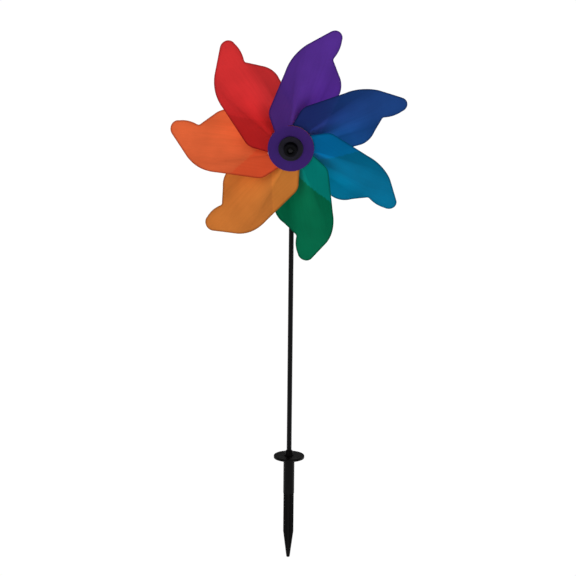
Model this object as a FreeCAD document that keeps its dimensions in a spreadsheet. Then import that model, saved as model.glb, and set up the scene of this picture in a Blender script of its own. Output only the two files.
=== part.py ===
import FreeCAD, Part

import math
import os

os.makedirs("parts", exist_ok=True)

V = FreeCAD.Vector
doc = FreeCAD.newDocument("whirligig")

# ---------------------------------------------------------------- driving dimensions (mm, degrees)
# Frame: +Z up, the wheel faces -Y, the rod stands on the Z axis and the ground is at Z = 0, the
# underside of the spike's flange.
SIZES = [
    ("wheel_radius", 152.4),        # 12 inch wheel, hub axis to petal tip
    ("petal_count", 7),
    # Each petal's direction, counter-clockwise from +X seen from the front: the petals are clamped
    # by hand, a seventh of a turn apart give or take three degrees.
    ("turn_purple", 69.8),
    ("turn_blue", 21.8),
    ("turn_teal", -30.0),
    ("turn_green", -81.5),
    ("turn_amber", -132.5),
    ("turn_orange", 174.5),
    ("turn_red", 125.2),
    ("sheet_thick", 0.5),
    ("stack_pitch", 0.55),          # from one petal's ring to the next along the axle
    ("ring_radius", 28.6),
    ("ring_gap", 36),               # from a petal's front ring to its own back ring
    ("tip_sweep", 13),              # how far the tip leans back
    ("axis_height", 418.5),
    ("wheel_front", 55),            # front face of the wheel's sheets, ahead of the rod's axis
    ("post_radius", 6),             # the posts that the petals' rings fit on
    ("post_slack", 0.1),
    ("core_radius", 8),
    ("core_flange_radius", 13),
    ("core_flange_thick", 2.4),
    ("cap_radius", 15.4),
    ("cap_thick", 2.4),
    ("cap_round", 0.8),
    ("boss_radius", 8.4),
    ("boss_height", 12.6),          # from the wheel's front face to the end of the boss
    ("boss_round", 1.2),
    ("recess_radius", 4.6),
    ("recess_depth", 4.2),
    ("rear_boss_radius", 7),
    ("rear_boss_height", 3.4),
    ("bush_radius", 3.2),
    ("bush_length", 9),
    ("axle_radius", 1.5),
    ("running_slack", 0.06),
    ("push_slack", 0.03),
    ("axial_play", 0.3),
    ("washer_radius", 4),
    ("washer_thick", 0.6),
    ("axle_cap_radius", 3.4),
    ("axle_cap_height", 2.6),
    ("axle_cap_round", 0.8),
    ("axle_cap_web", 0.8),          # left over the end of the pin
    ("nut_radius", 3.2),            # to its corners
    ("nut_thick", 2.2),
    ("pin_end", 1),                 # pin left standing out of the nut
    ("head_radius", 6.4),
    ("head_below", 30),             # head's skirt, below the wheel's axis
    ("head_above", 9),
    ("head_round", 2.4),
    ("head_pad", 1.4),              # flat boss on the head's back, under the nut
    ("head_boss_radius", 5.4),
    ("pin_grip", 7),                # web left between the rod's end and the pin
    ("rod_radius", 3.175),          # quarter-inch rod
    ("socket_depth", 45),           # rod's end, below the ground
    ("flange_radius", 19.8),
    ("flange_thick", 3.2),
    ("flange_round", 0.9),
    ("collar_base_radius", 5.8),
    ("collar_top_radius", 4.4),
    ("collar_height", 6.5),
    ("socket_radius", 7.1),
    ("socket_length", 48.5),
    ("rib_reach", 6.7),             # from the spike's axis, a little inside the round socket
    ("rib_thick", 2.8),
    ("taper_start", 100),
    ("spike_length", 136),
    ("point_radius", 2.1),
    ("overcut", 1),                 # how far a cutting shape runs past the surface it opens
]
sheet = doc.addObject("Spreadsheet::Sheet", "sizes")
for row, (alias, value) in enumerate(SIZES, start=1):
    sheet.set(f"A{row}", alias)
    sheet.set(f"B{row}", str(value))
    sheet.setAlias(f"B{row}", alias)
doc.recompute()


def size(alias):
    return float(sheet.get(alias))


def bind(obj, **expressions):
    """Bind an object's properties to formulas in the sheet's words."""
    names = sorted((alias for alias, _ in SIZES), key=len, reverse=True)
    for prop, formula in expressions.items():
        words = formula.replace("(", " ( ").replace(")", " ) ").split()
        text = " ".join(f"sizes.{word}" if word in names else word for word in words)
        obj.setExpression(prop.replace("__", "."), text)


# ---------------------------------------------------------------- small builders
def cylinder(name, radius, height, low="0"):
    obj = doc.addObject("Part::Cylinder", name)
    bind(obj, Radius=radius, Height=height, Placement__Base__z=low)
    return obj


def cone(name, low_radius, high_radius, height, low="0"):
    obj = doc.addObject("Part::Cone", name)
    bind(obj, Radius1=low_radius, Radius2=high_radius, Height=height, Placement__Base__z=low)
    return obj


def box(name, length, width, height, low):
    """A box centred on the Z axis."""
    obj = doc.addObject("Part::Box", name)
    bind(obj, Length=length, Width=width, Height=height)
    bind(obj, Placement__Base__x=f"-1 * ( {length} ) / 2", Placement__Base__y=f"-1 * ( {width} ) / 2")
    bind(obj, Placement__Base__z=low)
    return obj


def fuse(name, *shapes):
    obj = doc.addObject("Part::MultiFuse", name)
    obj.Shapes = list(shapes)
    obj.Refine = True
    return obj


def common(name, *shapes):
    obj = doc.addObject("Part::MultiCommon", name)
    obj.Shapes = list(shapes)
    return obj


def cut(name, base, tool):
    obj = doc.addObject("Part::Cut", name)
    obj.Base = base
    obj.Tool = tool
    return obj


def rounded(name, base, radius, wanted):
    """Round the edges of base for which wanted(edge) is true."""
    doc.recompute()
    obj = doc.addObject("Part::Fillet", name)
    obj.Base = base
    edges = [i for i, edge in enumerate(base.Shape.Edges, start=1) if wanted(edge)]
    obj.Edges = [(i, size(radius), size(radius)) for i in edges]
    return obj


def rim(radius, height):
    """Tells whether an edge is the circle of that radius at that height on the Z axis."""
    def wanted(edge):
        if not isinstance(edge.Curve, Part.Circle):
            return False
        low = edge.BoundBox.ZMin
        return abs(edge.Curve.Radius - radius) < 1e-6 and abs(low - height) < 1e-6
    return wanted


parts = []


def finish(obj, label):
    obj.Label = label
    parts.append(obj)
    return obj


def on_wheel_axis(obj, label):
    """Turn a piece built along +Z to face -Y, on the wheel's axis, at the wheel's front face."""
    obj.Placement = FreeCAD.Placement(V(0, 0, 0), FreeCAD.Rotation(V(1, 0, 0), 90))
    bind(obj, Placement__Base__y="-1 * wheel_front", Placement__Base__z="axis_height")
    return finish(obj, label)


# ---------------------------------------------------------------- petals
# A petal lies in its own frame: +Y towards its tip, +Z to the front, ring centres on the Z axis,
# and the front face of its front ring at Z = 0. The front leg and left edge are flat at Z = 0, the
# back leg and right edge are flat at Z = -ring_gap, and the sheet between them bends along straight
# lines that fan out from the slit between the legs.
FRONT_LINE = (V(-16, 31, 0), V(-25, 69, 0))     # where the bend starts: foot and direction
BACK_LINE = (V(15, 31, 0), V(13, 67, 0))        # where it ends
BEND_END = 2.2                                  # along those lines
SWEEP_START = 1.25
BEND_MARGIN = 0.1                               # share of the width with little slope, each side
STRAIGHT_SHARE = 0.6                            # of the bend's slope, the rest is a smooth step

# The bend's lower edge between the legs, as share of the way from front line to back line and place
# along them. It runs just clear of the rings, then behind them as a tongue, then up to the back leg.
FRONT_CORNER = (0.0, -0.08)
FORK = [FRONT_CORNER, (0.25, -0.04), (0.3, -0.14), (0.78, -0.14), (0.78, 0.0), (1.0, 0.0)]

TIP_ROUND = 9.9
FRONT_LEG_INNER = V(-4, 12, 0)                  # inner corners of the legs, under the rings
BACK_LEG_INNER = V(8, 12, 0)
REACH = 150.0                                   # further out than any petal
BELOW = -60.0                                   # lower than any petal in its own frame


def along(line, q):
    foot, way = line
    return foot + way * q


def bend_point(across, q):
    """The point that share of the way from the bend's front line to its back line."""
    return along(FRONT_LINE, q) * (1 - across) + along(BACK_LINE, q) * across


def ramp(t):
    """From 0 at t = 0 to 1 at t = 1, part straight and part smooth step."""
    t = min(max(t, 0.0), 1.0)
    return STRAIGHT_SHARE * t + (1 - STRAIGHT_SHARE) * t * t * (3 - 2 * t)


def bend_height(across, q):
    back = size("ring_gap") * ramp((across - BEND_MARGIN) / (1 - 2 * BEND_MARGIN))
    lean = math.tan(math.radians(size("tip_sweep"))) * BACK_LINE[1].y * max(0.0, q - SWEEP_START)
    return -back - lean


def bend_surface():
    """The bent part of the sheet, a little wider than the petal."""
    columns = [0.1 * i for i in range(-3, 14)]
    rows = [0.25 * j for j in range(-2, 12)]
    poles = []
    for t in columns:
        line = []
        for q in rows:
            point = bend_point(t, q)
            point.z = bend_height(t, q)
            line.append(point)
        poles.append(line)
    surface = Part.BSplineSurface()
    ends = [4] + [1] * (len(columns) - 4) + [4]
    sides = [4] + [1] * (len(rows) - 4) + [4]
    surface.buildFromPolesMultsKnots(
        poles, ends, sides, list(range(len(ends))), list(range(len(sides))), False, False, 3, 3)
    return surface.toShape()


def line_edge(a, b):
    return Part.LineSegment(a, b).toShape()


def arc_edge(a, middle, b):
    return Part.Arc(a, middle, b).toShape()


def outline_edges():
    """The petal's outer edge seen along the axle, clockwise from its front leg to its back leg."""
    tip_middle = V(2.5, size("wheel_radius") - TIP_ROUND, 0)
    slope = math.radians(135)
    tip_left = tip_middle + V(math.cos(slope), math.sin(slope), 0) * TIP_ROUND
    tip_right = tip_middle + V(TIP_ROUND, 0, 0)
    return [
        line_edge(V(-16, 0, 0), V(-36.5, 25, 0)),
        arc_edge(V(-36.5, 25, 0), V(-40.6, 31, 0), V(-42, 38.5, 0)),
        line_edge(V(-42, 38.5, 0), V(-40.5, 88, 0)),
        arc_edge(V(-40.5, 88, 0), V(-37, 110, 0), V(-27, 127, 0)),
        line_edge(V(-27, 127, 0), tip_left),
        arc_edge(tip_left, tip_middle + V(0, TIP_ROUND, 0), tip_right),
        arc_edge(tip_right, V(13.4, 131, 0), V(10.9, 119.6, 0)),
        arc_edge(V(10.9, 119.6, 0), V(10.8, 117.2, 0), V(12.3, 115, 0)),
        line_edge(V(12.3, 115, 0), V(24.5, 100.6, 0)),
        arc_edge(V(24.5, 100.6, 0), V(31, 91.5, 0), V(33.6, 80, 0)),
        line_edge(V(33.6, 80, 0), V(27.5, 20, 0)),
        line_edge(V(27.5, 20, 0), V(16, -10, 0)),
        line_edge(V(16, -10, 0), V(-16, 0, 0)),
    ]


def prism(edges, low, high):
    face = Part.Face(Part.Wire(edges))
    face.translate(V(0, 0, low))
    return face.extrude(V(0, 0, high - low))


def polygon(points):
    return [line_edge(a, b) for a, b in zip(points, points[1:] + points[:1])]


def ring_disc(low):
    return Part.makeCylinder(size("ring_radius"), size("sheet_thick"), V(0, 0, low))


def post_hole():
    radius = size("post_radius") + size("post_slack")
    return Part.makeCylinder(radius, 3 * size("ring_gap"), V(0, 0, -2 * size("ring_gap")))


def petal_shape():
    thick = size("sheet_thick")
    gap = size("ring_gap")
    front_end = along(FRONT_LINE, BEND_END)
    back_end = along(BACK_LINE, BEND_END)

    front_side = polygon([FRONT_LEG_INNER, bend_point(*FRONT_CORNER), front_end, V(-REACH, REACH, 0),
                          V(-REACH, BELOW, 0), V(FRONT_LEG_INNER.x, BELOW, 0)])
    front = prism(outline_edges(), -thick, 0).common(prism(front_side, -thick, 0))

    back_side = polygon([BACK_LEG_INNER, V(BACK_LEG_INNER.x, BELOW, 0), V(REACH, BELOW, 0),
                         V(REACH, REACH, 0), back_end, along(BACK_LINE, 0)])
    back = prism(outline_edges(), -gap - thick, -gap).common(prism(back_side, -gap - thick, -gap))

    bend_side = polygon([front_end, *[bend_point(*corner) for corner in FORK], back_end])
    bend = bend_surface().extrude(V(0, 0, -thick))
    bend = bend.common(prism(bend_side, BELOW, REACH)).common(prism(outline_edges(), BELOW, REACH))

    whole = bend.fuse([front, back, ring_disc(-thick), ring_disc(-gap - thick)])
    whole = whole.removeSplitter().cut(post_hole())
    return whole.Solids[0] if len(whole.Solids) == 1 else whole


# Clockwise round the wheel, seen from the front. Purple's rings lie in front of the other six.
COLOURS = ["purple", "blue", "teal", "green", "amber", "orange", "red"]


def build_petals():
    shape = petal_shape()
    wheel = FreeCAD.Placement(V(0, -size("wheel_front"), size("axis_height")),
                              FreeCAD.Rotation(V(1, 0, 0), 90))
    for index, colour in enumerate(COLOURS):
        layer = (len(COLOURS) - index) % len(COLOURS)
        turn = size(f"turn_{colour}") - 90
        obj = doc.addObject("Part::Feature", f"petal_{colour}")
        obj.Shape = shape
        obj.Placement = wheel.multiply(FreeCAD.Placement(
            V(0, 0, -layer * size("stack_pitch")), FreeCAD.Rotation(V(0, 0, 1), turn)))
        finish(obj, f"petal_{colour}")


# ---------------------------------------------------------------- hub
FRONT_STACK = "( ( petal_count - 1 ) * stack_pitch + sheet_thick )"
BORE = "( axle_radius + running_slack )"


def build_hub_core():
    flange_top = f"-1 * {FRONT_STACK}"
    back_face = "-1 * ring_gap"
    tube_length = f"( ring_gap - {FRONT_STACK} )"
    tube = cylinder("core_tube", "core_radius", tube_length, back_face)
    front_flange = cylinder("core_front_flange", "core_flange_radius", "core_flange_thick",
                            f"{flange_top} - core_flange_thick")
    back_flange = cylinder("core_back_flange", "core_flange_radius", "core_flange_thick", back_face)
    front_post = cylinder("core_front_post", "post_radius", FRONT_STACK, flange_top)
    back_post = cylinder("core_back_post", "post_radius", FRONT_STACK, f"{back_face} - {FRONT_STACK}")
    solid = fuse("core_solid", tube, front_flange, back_flange, front_post, back_post)
    bore = cylinder("core_bore", "bush_radius", "3 * ring_gap", "-2 * ring_gap")
    on_wheel_axis(cut("hub_core", solid, bore), "hub_core")


def build_front_cap():
    disc = cylinder("front_disc", "cap_radius", "cap_thick")
    boss = cylinder("front_boss", "boss_radius", "boss_height")
    solid = fuse("front_cap_solid", disc, boss)
    edge = rounded("front_cap_rim", solid, "cap_round", rim(size("cap_radius"), size("cap_thick")))
    nose = rounded("front_cap_nose", edge, "boss_round", rim(size("boss_radius"), size("boss_height")))
    recess = cylinder("front_recess", "recess_radius", "recess_depth + overcut",
                      "boss_height - recess_depth")
    bore = cylinder("front_cap_bore", BORE, "boss_height", "-1 * overcut")
    on_wheel_axis(cut("front_cap", nose, fuse("front_cap_tool", recess, bore)), "front_cap")


def build_rear_cap():
    face = f"-1 * ring_gap - {FRONT_STACK}"
    disc = cylinder("rear_disc", "cap_radius", "cap_thick", f"{face} - cap_thick")
    boss = cylinder("rear_boss", "rear_boss_radius", "cap_thick + rear_boss_height",
                    f"{face} - cap_thick - rear_boss_height")
    solid = fuse("rear_cap_solid", disc, boss)
    stack = (size("petal_count") - 1) * size("stack_pitch") + size("sheet_thick")
    low = -size("ring_gap") - stack - size("cap_thick")
    edge = rounded("rear_cap_rim", solid, "cap_round", rim(size("cap_radius"), low))
    bore = cylinder("rear_cap_bore", BORE, "ring_gap", f"{face} - ring_gap + overcut")
    on_wheel_axis(cut("rear_cap", edge, bore), "rear_cap")


def build_bush(label, low):
    sleeve = cylinder(f"{label}_sleeve", "bush_radius", "bush_length", low)
    bore = cylinder(f"{label}_bore", BORE, "bush_length + 2 * overcut", f"{low} - overcut")
    on_wheel_axis(cut(label, sleeve, bore), label)


# ---------------------------------------------------------------- axle and head
RECESS_FLOOR = "( boss_height - recess_depth )"
WHEEL_BACK = f"( -1 * ring_gap - {FRONT_STACK} - cap_thick - rear_boss_height )"


def build_washer(label, low):
    disc = cylinder(f"{label}_disc", "washer_radius", "washer_thick", low)
    hole = cylinder(f"{label}_hole", "axle_radius + push_slack", "washer_thick + 2 * overcut",
                    f"{low} - overcut")
    on_wheel_axis(cut(label, disc, hole), label)


def build_axle():
    front_end = f"( {RECESS_FLOOR} + axial_play + washer_thick + axle_cap_height - axle_cap_web )"
    back_end = "( -1 * wheel_front - head_radius - head_pad - nut_thick - pin_end )"
    pin = cylinder("axle_pin", "axle_radius", f"{front_end} - {back_end}", back_end)
    pin.Placement = FreeCAD.Placement(V(0, 0, 0), FreeCAD.Rotation(V(1, 0, 0), 90))
    pin.setExpression("Placement.Base.z", None)
    bind(pin, Placement__Base__y="head_radius + head_pad + nut_thick + pin_end",
         Placement__Base__z="axis_height")
    finish(pin, "axle_pin")

    build_washer("front_washer", f"{RECESS_FLOOR} + axial_play")
    build_washer("rear_washer", f"{WHEEL_BACK} - axial_play - washer_thick")

    cap_low = f"( {RECESS_FLOOR} + axial_play + washer_thick )"
    cap = cylinder("axle_cap_solid", "axle_cap_radius", "axle_cap_height", cap_low)
    low = size("boss_height") - size("recess_depth") + size("axial_play") + size("washer_thick")
    top = rim(size("axle_cap_radius"), low + size("axle_cap_height"))
    cap = rounded("axle_cap_round_top", cap, "axle_cap_round", top)
    hole = cylinder("axle_cap_hole", "axle_radius + push_slack",
                    "axle_cap_height - axle_cap_web + overcut", f"{cap_low} - overcut")
    on_wheel_axis(cut("axle_cap", cap, hole), "axle_cap")

    nut_low = "( -1 * wheel_front - head_radius - head_pad - nut_thick )"
    nut = doc.addObject("Part::Prism", "axle_nut_solid")
    nut.Polygon = 6
    bind(nut, Circumradius="nut_radius", Height="nut_thick", Placement__Base__z=nut_low)
    hole = cylinder("axle_nut_hole", "axle_radius + push_slack", "nut_thick + 2 * overcut",
                    f"{nut_low} - overcut")
    on_wheel_axis(cut("axle_nut", nut, hole), "axle_nut")


def build_rod_head():
    """Upright socket on the rod's top, with a flat boss each side for the pin."""
    low = "axis_height - head_below"
    skirt = cylinder("head_skirt", "head_radius", "head_below + head_above", low)
    doc.recompute()
    dome = rounded("head_dome", skirt, "head_round",
                   rim(size("head_radius"), size("axis_height") + size("head_above")))
    boss = doc.addObject("Part::Cylinder", "head_boss")
    boss.Placement = FreeCAD.Placement(V(0, 0, 0), FreeCAD.Rotation(V(1, 0, 0), 90))
    bind(boss, Radius="head_boss_radius",
         Height=f"head_radius + head_pad + wheel_front + {WHEEL_BACK} - axial_play - washer_thick",
         Placement__Base__y="head_radius + head_pad", Placement__Base__z="axis_height")
    solid = fuse("head_solid", dome, boss)
    socket = cylinder("head_socket", "rod_radius + push_slack", "head_below - pin_grip + overcut",
                      f"{low} - overcut")
    pin_hole = doc.addObject("Part::Cylinder", "head_pin_hole")
    pin_hole.Placement = FreeCAD.Placement(V(0, 0, 0), FreeCAD.Rotation(V(1, 0, 0), 90))
    bind(pin_hole, Radius="axle_radius + push_slack", Height="wheel_front",
         Placement__Base__y="wheel_front / 2", Placement__Base__z="axis_height")
    finish(cut("rod_head", solid, fuse("head_tool", socket, pin_hole)), "rod_head")


# ---------------------------------------------------------------- rod and spike
def build_rod():
    rod = cylinder("rod", "rod_radius", "axis_height - pin_grip + socket_depth", "-1 * socket_depth")
    finish(rod, "rod")


def build_ground_spike():
    flange = cylinder("spike_flange", "flange_radius", "flange_thick")
    collar = cone("spike_collar", "collar_base_radius", "collar_top_radius", "collar_height",
                  "flange_thick")
    tube = cylinder("spike_tube", "socket_radius", "socket_length", "-1 * socket_length")
    shank = cylinder("spike_shank", "rib_reach", "taper_start", "-1 * taper_start")
    taper = cone("spike_taper", "point_radius", "rib_reach", "spike_length - taper_start",
                 "-1 * spike_length")
    width = "2 * rib_reach"
    rib_x = box("spike_rib_x", width, "rib_thick", "spike_length", "-1 * spike_length")
    rib_y = box("spike_rib_y", "rib_thick", width, "spike_length", "-1 * spike_length")
    ribs = common("spike_ribs", fuse("spike_cross", rib_x, rib_y), fuse("spike_envelope", shank, taper))
    solid = fuse("spike_solid", flange, collar, tube, ribs)
    edge = rounded("spike_flange_rim", solid, "flange_round",
                   rim(size("flange_radius"), size("flange_thick")))
    socket = cylinder("spike_socket", "rod_radius + push_slack",
                      "socket_depth + flange_thick + collar_height + overcut", "-1 * socket_depth")
    finish(cut("ground_spike", edge, socket), "ground_spike")


build_petals()
build_hub_core()
build_front_cap()
build_rear_cap()
build_bush("front_bush", "-1 * bush_length")
build_bush("rear_bush", f"-1 * ring_gap - {FRONT_STACK}")
build_axle()
build_rod_head()
build_rod()
build_ground_spike()

# ---------------------------------------------------------------- check, then write
doc.recompute()
for obj in doc.Objects:
    if "Invalid" in obj.State or "Error" in obj.State:
        raise SystemExit(f"{obj.Name} failed: {obj.State}")
for obj in parts:
    shape = obj.Shape
    if shape.isNull() or not shape.isValid() or not shape.Solids:
        raise SystemExit(f"{obj.Label} has no valid shape")
    shape.exportStep(f"parts/{obj.Label}.step")
    box_of = shape.BoundBox
    print(f"{obj.Label:14s} solids {len(shape.Solids)} volume {shape.Volume:10.1f}"
          f"  x {box_of.XMin:7.1f} {box_of.XMax:7.1f}  y {box_of.YMin:6.1f} {box_of.YMax:6.1f}"
          f"  z {box_of.ZMin:7.1f} {box_of.ZMax:7.1f}")
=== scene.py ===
import math

import bmesh
import bpy
import numpy as np
from mathutils import Matrix, Vector
from mathutils.geometry import delaunay_2d_cdt


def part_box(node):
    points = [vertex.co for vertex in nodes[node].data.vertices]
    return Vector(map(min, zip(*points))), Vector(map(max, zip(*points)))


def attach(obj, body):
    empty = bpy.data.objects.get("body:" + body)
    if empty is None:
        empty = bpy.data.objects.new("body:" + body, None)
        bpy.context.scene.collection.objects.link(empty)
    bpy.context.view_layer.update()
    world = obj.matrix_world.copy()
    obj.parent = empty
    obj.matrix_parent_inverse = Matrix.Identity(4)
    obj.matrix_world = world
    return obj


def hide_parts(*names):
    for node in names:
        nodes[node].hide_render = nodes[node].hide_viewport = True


# A garden whirligig: seven bent plastic petals on a hub, turning on a pin in front of an upright
# rod that stands in a ground spike. Shapes are worked out in millimetres and written in metres.
MM = 0.001

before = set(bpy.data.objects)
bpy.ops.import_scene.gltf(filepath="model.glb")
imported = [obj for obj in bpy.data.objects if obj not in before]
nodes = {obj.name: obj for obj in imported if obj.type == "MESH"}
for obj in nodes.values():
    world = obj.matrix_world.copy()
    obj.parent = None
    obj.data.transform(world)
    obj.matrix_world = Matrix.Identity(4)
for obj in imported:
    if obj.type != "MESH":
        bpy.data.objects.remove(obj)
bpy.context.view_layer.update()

# ---------------------------------------------------------------- places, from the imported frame
cap_low, cap_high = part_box("front_cap")
AXIS_Z = (cap_low.z + cap_high.z) / 2
WHEEL_FACE_Y = cap_high.y
SPIKE_TIP_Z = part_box("ground_spike")[0].z
WHEEL_AXIS = Matrix.Translation((0, WHEEL_FACE_Y, AXIS_Z)) @ Matrix.Rotation(math.radians(90), 4, "X")


# ---------------------------------------------------------------- node helpers
def new_material(name):
    material = bpy.data.materials.new(name)
    material.use_nodes = True
    tree = material.node_tree
    tree.nodes.clear()
    return material, tree


def add(tree, kind, settings=None, **inputs):
    """A node of that kind. Inputs are named with _ for a space; a socket links, anything else is set."""
    node = tree.nodes.new(kind)
    for key, value in (settings or {}).items():
        setattr(node, key, value)
    for key, value in inputs.items():
        socket = node.inputs[int(key[1:])] if key[1:].isdigit() else node.inputs[key.replace("_", " ")]
        if isinstance(value, bpy.types.NodeSocket):
            tree.links.new(value, socket)
        else:
            socket.default_value = value
    return node


def object_place(tree):
    return add(tree, "ShaderNodeTexCoord").outputs["Object"]


def own_place(tree):
    return add(tree, "ShaderNodeAttribute", {"attribute_name": "place"}).outputs["Vector"]


def noise(tree, place, size_mm, detail, stretch=(1, 1, 1)):
    """Noise with features of about that size, stretched by a factor along each axis."""
    scale = tuple(1 / s for s in stretch)
    mapped = add(tree, "ShaderNodeMapping", Vector=place, Scale=scale).outputs["Vector"]
    texture = add(tree, "ShaderNodeTexNoise", Vector=mapped, Scale=1 / (size_mm * MM), Detail=detail)
    return texture.outputs["Fac"]


def spread(tree, value, low, high, span=(0.3, 0.7)):
    """Map a value that runs over span to low..high."""
    return add(tree, "ShaderNodeMapRange", Value=value, From_Min=span[0], From_Max=span[1],
               To_Min=low, To_Max=high).outputs["Result"]


def multiply(tree, a, b):
    return add(tree, "ShaderNodeMath", {"operation": "MULTIPLY"}, i0=a, i1=b).outputs["Value"]


def tinted(tree, colour, brightness):
    """A colour times a brightness that varies over the surface."""
    return add(tree, "ShaderNodeVectorMath", {"operation": "SCALE"}, i0=colour[:3],
               Scale=brightness).outputs["Vector"]


def bumped(tree, height, depth_mm, strength):
    bump = add(tree, "ShaderNodeBump", Height=height, Distance=depth_mm * MM, Strength=strength)
    return bump.outputs["Normal"]


def finish_material(tree, shader):
    add(tree, "ShaderNodeOutputMaterial", Surface=shader)


# ---------------------------------------------------------------- materials
BORDER_SHADE = 0.45             # brightness at the outer cut
BEND_SPAN = (0.1, 0.3)          # of the attribute bend, where painted light makes the sheet paler
DEEP_SPAN = (-20 * MM, -36 * MM)        # behind the front ring, where painted light makes it paler again
DEEP_FADE = (75 * MM, 108 * MM)         # towards the tip, where that second painted light fades


def sheet_material(colour, reflected, passed, see_through_painted_tint, bend_painted_light_gain, deep_painted_light_gain, clear):
    """Frosted, dyed polypropylene sheet: part of the light is thrown back, part is passed on
    scattered, and the share clear goes straight through. Painted light makes it paler where it is
    bent and where it lies deep, and a painted tint stands for the next petal's light and shade seen through
    it."""
    material, tree = new_material(f"sheet_{colour}")
    place = own_place(tree)
    clouds = spread(tree, noise(tree, place, 38, 3), 0.93, 1.07)
    streaks = spread(tree, noise(tree, place, 2.2, 2, (1, 30, 1)), 0.965, 1.035)
    edge = add(tree, "ShaderNodeAttribute", {"attribute_name": "edge"}).outputs["Fac"]
    rim = spread(tree, edge, 1.0, BORDER_SHADE, (0.0, 1.0))
    bend = add(tree, "ShaderNodeAttribute", {"attribute_name": "bend"}).outputs["Fac"]
    # Painted light: the sheet is made paler where it bends.
    painted_light_gain = spread(tree, bend, 1.0, bend_painted_light_gain, BEND_SPAN)
    split = add(tree, "ShaderNodeSeparateXYZ", Vector=place)
    # Painted light: paler again where the sheet lies deep behind the front ring, fading towards the tip.
    deep = spread(tree, split.outputs["Z"], 0.0, deep_painted_light_gain - 1, DEEP_SPAN)
    lower = spread(tree, split.outputs["Y"], 1.0, 0.2, DEEP_FADE)
    lifted = add(tree, "ShaderNodeMath", {"operation": "MULTIPLY_ADD"}, i0=deep, i1=lower, i2=1.0)
    painted_light_gain = multiply(tree, painted_light_gain, lifted.outputs["Value"])
    brightness = multiply(tree, multiply(tree, clouds, streaks), multiply(tree, rim, painted_light_gain))
    # Painted light and shade: where the sheet lies over the next petal, a tint stands for that petal seen
    # through it.
    over = add(tree, "ShaderNodeAttribute", {"attribute_name": "over"}).outputs["Fac"]
    tint = add(tree, "ShaderNodeVectorMath", {"operation": "MULTIPLY_ADD"}, i0=over,
               i1=tuple(t - 1 for t in see_through_painted_tint), i2=(1, 1, 1)).outputs["Vector"]
    thrown = add(tree, "ShaderNodeVectorMath", {"operation": "MULTIPLY"},
                 i0=tinted(tree, reflected, brightness), i1=tint).outputs["Vector"]
    frost = noise(tree, place, 0.45, 3)
    normal = bumped(tree, frost, 0.02, 0.5)
    front = add(tree, "ShaderNodeBsdfPrincipled", Base_Color=thrown,
                Roughness=spread(tree, frost, 0.36, 0.52), Specular_IOR_Level=0.025, Normal=normal)
    through = add(tree, "ShaderNodeBsdfTranslucent", Color=tinted(tree, passed, brightness), Normal=normal)
    body = add(tree, "ShaderNodeMixShader", Fac=0.5, i1=front.outputs[0], i2=through.outputs[0])
    see = add(tree, "ShaderNodeBsdfTransparent", Color=passed)
    sheet = add(tree, "ShaderNodeMixShader", Fac=clear, i1=body.outputs[0], i2=see.outputs[0])
    inside = add(tree, "ShaderNodeNewGeometry").outputs["Backfacing"]
    pass_on = add(tree, "ShaderNodeBsdfTransparent", Color=(1, 1, 1, 1))
    whole = add(tree, "ShaderNodeMixShader", Fac=inside, i1=sheet.outputs[0], i2=pass_on.outputs[0])
    finish_material(tree, whole.outputs[0])
    return material


def plastic_material(name, colour, rough, gloss, grain_mm=0.35, stretch=(1, 1, 1)):
    """Moulded plastic with a fine spark-eroded grain and slightly uneven gloss."""
    material, tree = new_material(name)
    place = object_place(tree)
    grain = noise(tree, place, grain_mm, 3, stretch)
    patches = noise(tree, place, 9, 3)
    shade = multiply(tree, spread(tree, patches, 0.8, 1.2), spread(tree, grain, 0.9, 1.1))
    surface = add(tree, "ShaderNodeBsdfPrincipled", Base_Color=tinted(tree, colour, shade),
                  Roughness=spread(tree, patches, rough - 0.06, rough + 0.06), Specular_IOR_Level=gloss,
                  Normal=bumped(tree, grain, 0.02, 0.35))
    finish_material(tree, surface.outputs[0])
    return material


def steel_material():
    """Drawn steel wire with fine lines along it."""
    material, tree = new_material("steel")
    place = object_place(tree)
    lines = noise(tree, place, 0.12, 2, (1, 60, 1))
    shade = spread(tree, lines, 0.85, 1.1)
    surface = add(tree, "ShaderNodeBsdfPrincipled", Base_Color=tinted(tree, (0.52, 0.52, 0.54), shade),
                  Metallic=1.0, Roughness=spread(tree, lines, 0.24, 0.4))
    finish_material(tree, surface.outputs[0])
    return material


# ---------------------------------------------------------------- petal shape (mm)
# A petal lies in its own frame: +Y towards its tip, +Z to the front, the wheel's axis along Z and
# the front face of its front ring at Z = 0. Its front leg and left edge are flat at Z = 0, its back
# leg and right edge are flat at Z = -RING_GAP, and the sheet bends between them along lines that
# fan out from the slit between the legs.
SHEET_THICK = 0.5
WHEEL_RADIUS = 152.4
TIP_X, TIP_ROUND = 2.5, 9.9     # middle and radius of the rounded tip
RING_RADIUS = 28.6
HOLE_RADIUS = 6.1
RING_GAP = 36.0
TIP_SWEEP = math.radians(13)
FRONT_FOOT, FRONT_WAY = np.array((-16.0, 31.0)), np.array((-25.0, 69.0))
BACK_FOOT, BACK_WAY = np.array((15.0, 31.0)), np.array((13.0, 67.0))
BEND_END = 2.2
BEND_MARGIN = 0.1       # share at each side of the bend that stays flat
STRAIGHT_SHARE = 0.6    # how much of the bend's profile is a plain slope
BEND_BLUR = 0.06        # half the width of the profile's smoothing
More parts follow.
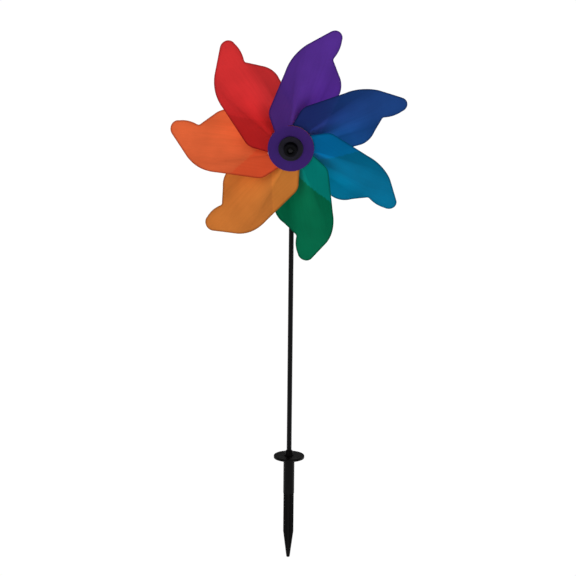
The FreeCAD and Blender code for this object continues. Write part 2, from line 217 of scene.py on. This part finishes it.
# The bend's lower edge between the legs, as share of the way across and place along the bend's
# lines: just clear of the rings, then behind them as a tongue, then up to the back leg.
FORK = ((0.0, -0.08), (0.25, -0.04), (0.3, -0.14), (0.78, -0.14), (0.78, 0.0), (1.0, 0.0))
SWEEP_START, SWEEP_SOFT = 1.25, 0.15    # where the tip's sweep starts, easing in over that much each side
FRONT_LEG_INNER, BACK_LEG_INNER = (-4, 12), (8, 12)
REACH, BELOW = 150, -60         # corners of the flat zones, well clear of the petal
STEP = 1.6              # spacing of the mesh's points
ROW_PITCH = 0.87        # between rows of points, in steps
CLEAR_OF_LINES = 0.65   # least gap between a point of the grid and the drawn lines, in steps
CHAMFER = 0.12          # along the cut edge
BORDER = 2.6            # width of the darker border

# Direction of each petal, counter-clockwise from +X seen from the front, clockwise round the wheel.
TURNS = {"purple": 69.8, "blue": 21.8, "teal": -30.0, "green": -81.5, "amber": -132.5,
         "orange": 174.5, "red": 125.2}


def line(a, b, step=STEP):
    """Points from a to b, without b."""
    a, b = np.array(a, float), np.array(b, float)
    count = max(1, math.ceil(np.linalg.norm(b - a) / step))
    return [a + (b - a) * i / count for i in range(count)]


def arc(a, middle, b, step=STEP):
    """Points along the arc from a through middle to b, without b."""
    (ax, ay), (mx, my), (bx, by) = a, middle, b
    d = 2 * (ax * (my - by) + mx * (by - ay) + bx * (ay - my))
    sa, sm, sb = ax * ax + ay * ay, mx * mx + my * my, bx * bx + by * by
    cx = (sa * (my - by) + sm * (by - ay) + sb * (ay - my)) / d
    cy = (sa * (bx - mx) + sm * (ax - bx) + sb * (mx - ax)) / d
    radius = math.hypot(ax - cx, ay - cy)
    start = math.atan2(ay - cy, ax - cx)
    turn = (math.atan2(by - cy, bx - cx) - start) % math.tau
    if (math.atan2(my - cy, mx - cx) - start) % math.tau > turn:
        turn -= math.tau
    count = max(2, math.ceil(abs(turn) * radius / step))
    angles = [start + turn * i / count for i in range(count)]
    return [np.array((cx + radius * math.cos(t), cy + radius * math.sin(t))) for t in angles]


def polyline(corners):
    """Points along straight lines from corner to corner, with the last corner."""
    pieces = [line(a, b) for a, b in zip(corners, corners[1:])]
    return [point for piece in pieces for point in piece] + [np.array(corners[-1], float)]


def circle(radius, count):
    angles = [math.tau * i / count for i in range(count)]
    return [np.array((radius * math.cos(t), radius * math.sin(t))) for t in angles]


def petal_outline():
    tip_y = WHEEL_RADIUS - TIP_ROUND
    slant = TIP_ROUND * math.sqrt(0.5)
    tip_left = (TIP_X - slant, tip_y + slant)
    tip_right = (TIP_X + TIP_ROUND, tip_y)
    return [
        *line((-16, 0), (-36.5, 25)),
        *arc((-36.5, 25), (-40.6, 31), (-42, 38.5)),
        *line((-42, 38.5), (-40.5, 88)),
        *arc((-40.5, 88), (-37, 110), (-27, 127)),
        *line((-27, 127), tip_left),
        *arc(tip_left, (TIP_X, tip_y + TIP_ROUND), tip_right),
        *arc(tip_right, (13.4, 131), (10.9, 119.6)),
        *arc((10.9, 119.6), (10.8, 117.2), (12.3, 115)),
        *line((12.3, 115), (24.5, 100.6)),
        *arc((24.5, 100.6), (31, 91.5), (33.6, 80)),
        *line((33.6, 80), (27.5, 20)),
        *line((27.5, 20), (16, -10)),
        *line((16, -10), (-16, 0)),
    ]


def inside(points, loop):
    """Whether each point lies in the closed loop."""
    loop = np.array(loop)
    following = np.roll(loop, -1, axis=0)
    found = np.zeros(len(points), bool)
    for (ax, ay), (bx, by) in zip(loop, following):
        if ay == by:
            continue
        crosses = (ay > points[:, 1]) != (by > points[:, 1])
        found ^= crosses & (points[:, 0] < ax + (points[:, 1] - ay) * (bx - ax) / (by - ay))
    return found


def bend_place(points):
    """Each point's share across the bend, 0 at its front line and 1 at its back line, and its
    place q along those lines."""
    foot, way = BACK_FOOT - FRONT_FOOT, BACK_WAY - FRONT_WAY
    across, q = np.full(len(points), 0.5), np.full(len(points), 1.0)
    for _ in range(12):
        origin = FRONT_FOOT + np.outer(q, FRONT_WAY)
        chord = foot + np.outer(q, way)
        miss = origin + chord * across[:, None] - points
        along = FRONT_WAY + across[:, None] * way
        det = chord[:, 0] * along[:, 1] - chord[:, 1] * along[:, 0]
        across -= (miss[:, 0] * along[:, 1] - miss[:, 1] * along[:, 0]) / det
        q -= (chord[:, 0] * miss[:, 1] - chord[:, 1] * miss[:, 0]) / det
    return across, q


def bend_point(across, q):
    """The point that share of the way from the bend's front line to its back line."""
    return (FRONT_FOOT + q * FRONT_WAY) * (1 - across) + (BACK_FOOT + q * BACK_WAY) * across


def ramp(t):
    t = np.clip((t - BEND_MARGIN) / (1 - 2 * BEND_MARGIN), 0, 1)
    return STRAIGHT_SHARE * t + (1 - STRAIGHT_SHARE) * t * t * (3 - 2 * t)


def bend_height(points):
    """The sheet's height over the bend, with a soft start and end to the slope and to the sweep."""
    across, q = bend_place(points)
    back = np.mean([ramp(across + shift) for shift in np.linspace(-BEND_BLUR, BEND_BLUR, 7)], axis=0)
    past = q - SWEEP_START
    eased = np.clip(past + SWEEP_SOFT, 0, None) ** 2 / (4 * SWEEP_SOFT)
    swept = np.where(past > SWEEP_SOFT, past, eased)
    return -RING_GAP * back - math.tan(TIP_SWEEP) * BACK_WAY[1] * swept


def petal_surface():
    """The front face of the sheet as points (mm) and triangles."""
    outline = petal_outline()
    front_far, back_far = FRONT_FOOT + FRONT_WAY * BEND_END, BACK_FOOT + BACK_WAY * BEND_END
    fork = [bend_point(*corner) for corner in FORK]
    front_edge = [FRONT_LEG_INNER, fork[0], front_far]
    front_zone = [*front_edge, (-REACH, REACH), (-REACH, BELOW), (FRONT_LEG_INNER[0], BELOW)]
    back_zone = [BACK_LEG_INNER, (BACK_LEG_INNER[0], BELOW), (REACH, BELOW), (REACH, REACH), back_far,
                 BACK_FOOT]
    bend_zone = [front_far, *fork, back_far]
    chains = [
        outline + outline[:1],
        circle(RING_RADIUS, 112) + [np.array((RING_RADIUS, 0.0))],
        circle(HOLE_RADIUS, 48) + [np.array((HOLE_RADIUS, 0.0))],
        polyline(front_edge),
        polyline([BACK_LEG_INNER, BACK_FOOT, back_far]),
        polyline(fork),
    ]
    points, edges = [], []
    for chain in chains:
        edges += [(len(points) + i, len(points) + i + 1) for i in range(len(chain) - 1)]
        points += chain
    fixed = np.array(points)
    for row, y in enumerate(np.arange(-30, 154, STEP * ROW_PITCH)):
        xs = np.arange(-44, 36, STEP) + STEP * 0.5 * (row % 2)
        grid = np.stack([xs, np.full(len(xs), y)], axis=1)
        gap = np.min(np.linalg.norm(grid[:, None] - fixed[None], axis=2), axis=1)
        points += list(grid[gap > CLEAR_OF_LINES * STEP])
    flat, _, faces, _, _, _ = delaunay_2d_cdt([Vector(p) for p in points], edges, [], 0, 1e-5)
    flat = np.array(flat)
    faces = np.array(faces)
    middle = flat[faces].mean(axis=1)
    radius = np.linalg.norm(middle, axis=1)
    ring = (radius < RING_RADIUS * 0.9998) & (radius > HOLE_RADIUS)
    leaf = inside(middle, outline) & (radius > HOLE_RADIUS)
    zones = [
        (ring | (leaf & inside(middle, front_zone)), np.zeros(len(flat))),
        (leaf & inside(middle, bend_zone), bend_height(flat)),
        (ring | (leaf & inside(middle, back_zone)), np.full(len(flat), -RING_GAP)),
    ]
    numbers, where, triangles = {}, [], []
    for chosen, height in zones:
        for face in faces[chosen]:
            corner = []
            for i in face:
                key = (i, round(height[i], 2))
                if key not in numbers:
                    numbers[key] = len(where)
                    where.append((*flat[i], height[i]))
                corner.append(numbers[key])
            triangles.append(corner)
    return where, triangles


def thickened(where, triangles, next_turn):
    """A closed sheet behind that surface, with a chamfer all along its cut edge, in metres. The
    attribute edge grows to 1 at the outer cut, bend grows with the sheet's slope, and over is 1
    in front of the next petal, which is turned by next_turn."""
    c, s = math.cos(next_turn), math.sin(next_turn)
    outline = np.array(petal_outline())
    flat = np.array(where)[:, :2]
    turned_back = flat @ np.array(((c, -s), (s, c)))
    away = np.linalg.norm(flat, axis=1) > RING_RADIUS
    covered = away & inside(turned_back, outline)
    inset = np.min(np.linalg.norm(flat[:, None] - outline[None], axis=2), axis=1)
    border = np.where(away, np.clip(1 - inset / BORDER, 0, 1), 0)
    mesh = bmesh.new()
    over_layer = mesh.verts.layers.float.new("over")
    edge_layer = mesh.verts.layers.float.new("edge")
    bend_layer = mesh.verts.layers.float.new("bend")
    front = [mesh.verts.new(p) for p in where]
    for corner in triangles:
        mesh.faces.new([front[i] for i in corner])
    mesh.normal_update()
    if sum(f.normal.z for f in mesh.faces) < 0:
        bmesh.ops.reverse_faces(mesh, faces=mesh.faces[:])
        mesh.normal_update()
    normals = {v: v.normal.copy() for v in front}
    places = {v: v.co.copy() for v in front}
    rim = [loop for f in mesh.faces for loop in f.loops if len(loop.edge.link_faces) == 1]
    outward = {}
    for loop in rim:
        a, b = loop.vert, loop.link_loop_next.vert
        for v in (a, b):
            side = (b.co - a.co).normalized().cross(normals[v])
            outward[v] = outward.get(v, Vector()) + side
    rim_edges = [(loop.vert, loop.link_loop_next.vert) for loop in rim]
    front_faces = [list(f.verts) for f in mesh.faces]
    back = {v: mesh.verts.new(places[v] - normals[v] * SHEET_THICK) for v in front}
    cover = {v: float(found) for v, found in zip(front, covered)}
    for v, share in zip(front, border):
        v[edge_layer] = back[v][edge_layer] = float(share)
    for v in front:
        v[bend_layer] = back[v][bend_layer] = 1 - normals[v].z
        v[over_layer] = back[v][over_layer] = cover[v]
    for corner in front_faces:
        mesh.faces.new([back[v] for v in reversed(corner)])
    upper, lower = {}, {}
    for v, side in outward.items():
        side.normalize()
        upper[v] = mesh.verts.new(places[v] - normals[v] * CHAMFER)
        lower[v] = mesh.verts.new(places[v] - normals[v] * (SHEET_THICK - CHAMFER))
        v.co -= side * CHAMFER
        back[v].co -= side * CHAMFER
        for w in (upper[v], lower[v]):
            w[edge_layer] = v[edge_layer]
            w[bend_layer] = 1 - normals[v].z
            w[over_layer] = cover[v]
    for a, b in rim_edges:
        for near, far in (({a: a, b: b}, upper), (upper, lower), (lower, back)):
            mesh.faces.new([near[b], near[a], far[a], far[b]])
    for f in mesh.faces:
        f.smooth = True
    bmesh.ops.scale(mesh, vec=(MM, MM, MM), verts=mesh.verts[:])
    mesh.normal_update()
    return mesh


def build_object(name, mesh, material, body, stands_for, place=Matrix.Identity(4)):
    """A finished piece. The attribute place keeps each point's position before it was put in place."""
    data = bpy.data.meshes.new(name)
    mesh.to_mesh(data)
    mesh.free()
    own = np.array([v.co for v in data.vertices], np.float32)
    data.attributes.new("place", "FLOAT_VECTOR", "POINT").data.foreach_set("vector", own.ravel())
    data.transform(place)
    data.materials.append(material)
    data.set_sharp_from_angle(angle=math.radians(38))
    obj = bpy.data.objects.new(name, data)
    bpy.context.scene.collection.objects.link(obj)
    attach(obj, body)
    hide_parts(*stands_for)
    return obj


# For each sheet: light thrown back, light passed on through it, painted tint for the light and shade of the
# next petal seen through it, and gains of painted light where it is bent and where it lies deep.
SHEET_COLOURS = {
    "purple": ((0.065, 0.0245, 0.21), (0.05, 0.011, 0.145), (1.1, 1.07, 1.0), 1.55, 1.75),
    "blue": ((0.0105, 0.021, 0.125), (0.002, 0.040, 0.12), (1.5, 1.3, 1.25), 1.9, 2.0),
    "teal": ((0.0002, 0.134, 0.275), (0.0005, 0.045, 0.065), (1.0, 1.2, 1.5), 1.65, 2.25),
    "green": ((0.0002, 0.16, 0.073), (0.0005, 0.017, 0.006), (1.0, 1.6, 3.0), 1.5, 1.4),
    "amber": ((0.64, 0.213, 0.041), (0.17, 0.035, 0.005), (1.2, 1.2, 1.1), 1.5, 1.3),
    "orange": ((0.80, 0.136, 0.045), (0.28, 0.05, 0.014), (1.03, 0.72, 0.72), 1.4, 1.5),
    "red": ((0.57, 0.019, 0.021), (0.33, 0.022, 0.022), (0.82, 0.78, 0.75), 1.6, 1.15),
}
CLEAR = 0.08                    # share of the light that goes straight through a sheet


def build_petals():
    where, triangles = petal_surface()
    following = dict(zip(TURNS, [*TURNS][-1:] + [*TURNS][:-1]))
    for colour, turn in TURNS.items():
        node = f"petal_{colour}"
        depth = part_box(node)[0].y - WHEEL_FACE_Y
        place = WHEEL_AXIS @ Matrix.Translation((0, 0, -depth)) @ Matrix.Rotation(
            math.radians(turn - 90), 4, "Z")
        reflected, passed, *effects = SHEET_COLOURS[colour]
        material = sheet_material(colour, (*reflected, 1), (*passed, 1), *effects, CLEAR)
        next_turn = math.radians((TURNS[following[colour]] - turn) % 360)
        build_object(f"leaf_{colour}", thickened(where, triangles, next_turn), material, "wheel",
                     [node], place)


# ---------------------------------------------------------------- turned pieces (mm)
def rounded_loop(corners, steps=4):
    """A closed loop through corners (radius, height, rounding), each corner eased by its rounding."""
    loop = []
    for i, (radius, height, rounding) in enumerate(corners):
        here = Vector((radius, height))
        if rounding == 0:
            loop.append(here)
            continue
        before = here + (Vector(corners[i - 1][:2]) - here).normalized() * rounding
        after = here + (Vector(corners[(i + 1) % len(corners)][:2]) - here).normalized() * rounding
        for k in range(steps + 1):
            t = k / steps
            loop.append(before * (1 - t) ** 2 + here * 2 * t * (1 - t) + after * t * t)
    return loop


def skinned(rings, closed):
    """Faces between rings of points, in metres. A ring of one point is the tip of a fan."""
    mesh = bmesh.new()
    rows = [[mesh.verts.new(point) for point in ring] for ring in rings]
    pairs = list(zip(rows, rows[1:])) + ([(rows[-1], rows[0])] if closed else [])
    for a, b in pairs:
        count = max(len(a), len(b))
        if count == 1:
            continue
        for k in range(count):
            corner = (a[k % len(a)], a[(k + 1) % len(a)], b[(k + 1) % len(b)], b[k % len(b)])
            mesh.faces.new(list(dict.fromkeys(corner)))
    bmesh.ops.recalc_face_normals(mesh, faces=mesh.faces[:])
    for f in mesh.faces:
        f.smooth = True
    bmesh.ops.scale(mesh, vec=(MM, MM, MM), verts=mesh.verts[:])
    mesh.normal_update()
    return mesh


def round_ring(radius, height, count=64):
    if radius == 0:
        return [(0, 0, height)]
    return [(radius * math.cos(math.tau * k / count), radius * math.sin(math.tau * k / count), height)
            for k in range(count)]


def turned(corners):
    return skinned([round_ring(radius, height) for radius, height in rounded_loop(corners)], True)


BORE = 1.56                     # running hole for the pin
STACK = 3.8                     # seven petal rings
CAP_RADIUS, CAP_THICK = 15.4, 2.4
BOSS_RADIUS, RECESS_RADIUS, BOSS_FRONT = 8.4, 4.6, 12.6
POST_RADIUS, SPOOL_FLANGE = 6, 13
BUSH_RADIUS = 3.2


def build_hub():
    hub = plastic_material("hub_plastic", (0.004, 0.004, 0.005), 0.42, 0.12)
    disc = plastic_material("cap_plastic", (0.0095, 0.0085, 0.0145), 0.5, 0.06)
    boss = plastic_material("boss_plastic", (0.0014, 0.0014, 0.0022), 0.45, 0.04)
    build_object("cap_disc", turned([
        (BORE, 0, 0), (CAP_RADIUS, 0, 0.3), (CAP_RADIUS, CAP_THICK, 0.8), (13.9, CAP_THICK, 0.15),
        (13.5, 2.15, 0.15), (9.8, 2.15, 0.15), (9.4, CAP_THICK, 0.15), (BORE, CAP_THICK, 0)]), disc,
        "wheel", ["front_cap"], WHEEL_AXIS)
    build_object("cap_boss", turned([
        (BORE, CAP_THICK, 0), (9.0, CAP_THICK, 0), (BOSS_RADIUS, 3.4, 0.5),
        (BOSS_RADIUS, BOSS_FRONT, 1.2), (RECESS_RADIUS, BOSS_FRONT, 0.3), (RECESS_RADIUS, 8.4, 0.3),
        (BORE, 8.4, 0)]), boss, "wheel", ["front_cap"], WHEEL_AXIS)
    back = -RING_GAP - STACK
    build_object("rear_cap_shell", turned([
        (BORE, back, 0), (CAP_RADIUS, back, 0.3), (CAP_RADIUS, back - CAP_THICK, 0.8),
        (7.7, back - CAP_THICK, 0.3), (7, back - 3.2, 0.3), (7, back - 5.8, 0.6),
        (BORE, back - 5.8, 0.2)]), disc, "wheel", ["rear_cap"], WHEEL_AXIS)
    build_object("hub_spool", turned([
        (BUSH_RADIUS, 0, 0.2), (POST_RADIUS, 0, 0.2), (POST_RADIUS, -STACK, 0), (SPOOL_FLANGE, -STACK, 0.3),
        (SPOOL_FLANGE, -6.2, 0.8), (9.4, -6.2, 0.6), (8, -7.8, 0.8), (8, -32, 0.8), (9.4, -33.6, 0.6),
        (SPOOL_FLANGE, -33.6, 0.8), (SPOOL_FLANGE, -RING_GAP, 0.3), (POST_RADIUS, -RING_GAP, 0),
        (POST_RADIUS, back, 0.2), (BUSH_RADIUS, back, 0.2)]), hub, "wheel",
        ["hub_core"], WHEEL_AXIS)
    dome = [(3.4 * math.cos(t), 10.5 + 1.4 * math.sin(t), 0) for t in np.linspace(0, math.pi / 2, 9)[:-1]]
    build_object("pin_cap", turned([(1.53, 9.3, 0), (3.4, 9.3, 0.15), *dome, (0, 11.9, 0), (0, 11.1, 0),
                                    (1.53, 11.1, 0)]),
                 plastic_material("axle_cap_plastic", (0.004, 0.004, 0.005), 0.4, 0.1), "stand",
                 ["axle_cap"], WHEEL_AXIS)


ROD_RADIUS = 3.175
ROD_END = -45.0
RIB_HALF = 1.4
RIB_REACH = 6.7
TAPER_START = -100.0
POINT_REACH = 2.1
SOCKET_RADIUS, SOCKET_END = 7.1, -48.5
FLANGE_RADIUS, FLANGE_THICK = 19.8, 3.2


def rib_ring(reach, height, half=RIB_HALF):
    """A cross with rounded rib ends, of as many points as a round ring."""
    end = math.asin(half / reach)
    side = reach * math.cos(end)
    quarter = [(reach * math.cos(end * k / 3), reach * math.sin(end * k / 3)) for k in range(3)]
    quarter += [(side + (half - side) * k / 5, half) for k in range(5)]
    quarter += [(half, half + (side - half) * k / 5) for k in range(5)]
    quarter += [(reach * math.sin(end * k / 3), reach * math.cos(end * k / 3)) for k in (3, 2, 1)]
    turns = [(1, 0), (0, 1), (-1, 0), (0, -1)]
    return [(x * c - y * s, x * s + y * c, height) for c, s in turns for x, y in quarter]


def build_stand():
    rod_paint = plastic_material("rod_paint", (0.0018, 0.0018, 0.002), 0.34, 0.06, 0.3, (1, 1, 30))
    top = (AXIS_Z / MM) - 7
    rod = turned([(0, ROD_END, 0), (ROD_RADIUS, ROD_END, 0.3), (ROD_RADIUS, top, 0.3), (0, top, 0)])
    build_object("rod_bar", rod, rod_paint, "stand", ["rod"])

    tip = SPIKE_TIP_Z / MM
    collar = rounded_loop([
        (0, ROD_END, 0), (3.205, ROD_END, 0), (3.205, 9.7, 0.2), (4.4, 9.7, 0.3), (5.8, 3.9, 0.4),
        (6.6, FLANGE_THICK, 0.4), (FLANGE_RADIUS, FLANGE_THICK, 0.9), (FLANGE_RADIUS, 0, 0.4),
        (7.7, 0, 0.2), (SOCKET_RADIUS, -0.6, 0.2), (SOCKET_RADIUS, -47.9, 0)])
    rings = [round_ring(radius, height) for radius, height in collar]
    rings += [rib_ring(RIB_REACH, height) for height in np.linspace(SOCKET_END, TAPER_START, 6)]
    for share in (0.25, 0.5, 0.75, 0.98):
        reach = RIB_REACH + (POINT_REACH - RIB_REACH) * share
        rings.append(rib_ring(reach, TAPER_START + (tip - TAPER_START) * share))
    rings += [rib_ring(1.3, tip, 0.8), [(0, 0, tip)]]
    spike = plastic_material("spike_plastic", (0.0018, 0.0015, 0.0016), 0.42, 0.05)
    build_object("spike", skinned(rings, False), spike, "stand", ["ground_spike"])


# ---------------------------------------------------------------- carried-over nodes
def dress(names, material):
    for name in names:
        data = nodes[name].data
        data.materials.clear()
        data.materials.append(material)


build_petals()
build_hub()
build_stand()
dress(["front_bush", "rear_bush"], plastic_material("nylon", (0.6, 0.58, 0.52), 0.45, 0.4))
dress(["front_washer", "rear_washer"], plastic_material("dark_nylon", (0.006, 0.006, 0.006), 0.5, 0.1))
dress(["axle_pin", "axle_nut"], steel_material())
dress(["rod_head"], plastic_material("head_plastic", (0.004, 0.004, 0.0045), 0.4, 0.14))


# ---------------------------------------------------------------- studio
SEEN_WHITE = 1.02               # brightness of the paper and the background as the camera sees them
FILL, MIRRORED = 0.8, 0.12      # what the background gives as light, and in reflections
FLOOR_HALF = 30.0               # metres


def build_floor():
    mesh = bmesh.new()
    bmesh.ops.create_grid(mesh, x_segments=8, y_segments=8, size=FLOOR_HALF)
    data = bpy.data.meshes.new("floor")
    mesh.to_mesh(data)
    mesh.free()
    floor = bpy.data.objects.new("floor", data)
    floor.location.z = SPIKE_TIP_Z - 0.5 * MM
    bpy.context.scene.collection.objects.link(floor)
    material, tree = new_material("floor_paper")
    shade = spread(tree, noise(tree, object_place(tree), 60, 2), 0.94, 0.96)
    paper = add(tree, "ShaderNodeBsdfPrincipled", Base_Color=tinted(tree, (1, 1, 1), shade), Roughness=0.9,
                Specular_IOR_Level=0.0, Emission_Color=(1, 1, 1, 1), Emission_Strength=0.6)
    white = add(tree, "ShaderNodeEmission", Color=(1, 1, 1, 1), Strength=SEEN_WHITE)
    seen = add(tree, "ShaderNodeLightPath").outputs["Is Camera Ray"]
    whole = add(tree, "ShaderNodeMixShader", Fac=seen, i1=paper.outputs[0], i2=white.outputs[0])
    finish_material(tree, whole.outputs[0])
    data.materials.append(material)


def area_light(name, place, target, size, power):
    data = bpy.data.lights.new(name, "AREA")
    data.shape = "DISK"
    data.size = size
    data.energy = power
    light = bpy.data.objects.new(name, data)
    light.location = place
    light.rotation_euler = (Vector(target) - Vector(place)).to_track_quat("-Z", "Y").to_euler()
    bpy.context.scene.collection.objects.link(light)


def build_light():
    world = bpy.data.worlds.new("studio")
    world.use_nodes = True
    tree = world.node_tree
    tree.nodes.clear()
    path = add(tree, "ShaderNodeLightPath")
    seen = add(tree, "ShaderNodeBackground", Color=(1, 1, 1, 1), Strength=SEEN_WHITE)
    fill = add(tree, "ShaderNodeBackground", Color=(1, 1, 1, 1), Strength=FILL)
    mirrored = add(tree, "ShaderNodeBackground", Color=(1, 1, 1, 1), Strength=MIRRORED)
    light = add(tree, "ShaderNodeMixShader", Fac=path.outputs["Is Glossy Ray"], i1=fill.outputs[0],
                i2=mirrored.outputs[0])
    whole = add(tree, "ShaderNodeMixShader", Fac=path.outputs["Is Camera Ray"], i1=light.outputs[0],
                i2=seen.outputs[0])
    add(tree, "ShaderNodeOutputWorld", Surface=whole.outputs[0])
    bpy.context.scene.world = world
    hub = (0, WHEEL_FACE_Y, AXIS_Z)
    area_light("key", (-1.2, -2.6, 1.6), hub, 1.4, 14)
    area_light("side", (1.8, -2.2, -0.2), hub, 1.2, 12)
    area_light("behind", (0.3, 2.2, 2.0), hub, 1.6, 10)


# ---------------------------------------------------------------- camera
CAMERA_DISTANCE = 3.354         # level distance from the wheel's axis, metres
CAMERA_RISE = 0.684             # above the wheel's axis
CAMERA_SIDE = math.radians(1.82)
CAMERA_YAW = math.radians(0.06)
CAMERA_PITCH = math.radians(14.64)
CAMERA_ROLL = math.radians(0.58)
SENSOR_WIDTH, LENS = 36, 170.375        # mm


def build_camera():
    data = bpy.data.cameras.new("camera")
    data.sensor_width = SENSOR_WIDTH
    data.lens = LENS
    camera = bpy.data.objects.new("camera", data)
    turn = (Matrix.Rotation(CAMERA_SIDE + CAMERA_YAW, 4, "Z")
            @ Matrix.Rotation(math.radians(90) - CAMERA_PITCH, 4, "X")
            @ Matrix.Rotation(CAMERA_ROLL, 4, "Z"))
    place = Vector((math.sin(CAMERA_SIDE) * CAMERA_DISTANCE, -math.cos(CAMERA_SIDE) * CAMERA_DISTANCE,
                    AXIS_Z + CAMERA_RISE))
    camera.matrix_world = Matrix.Translation(place) @ turn
    bpy.context.scene.collection.objects.link(camera)
    bpy.context.scene.camera = camera


build_floor()
build_light()
build_camera()
bpy.context.scene.view_settings.view_transform = "Standard"
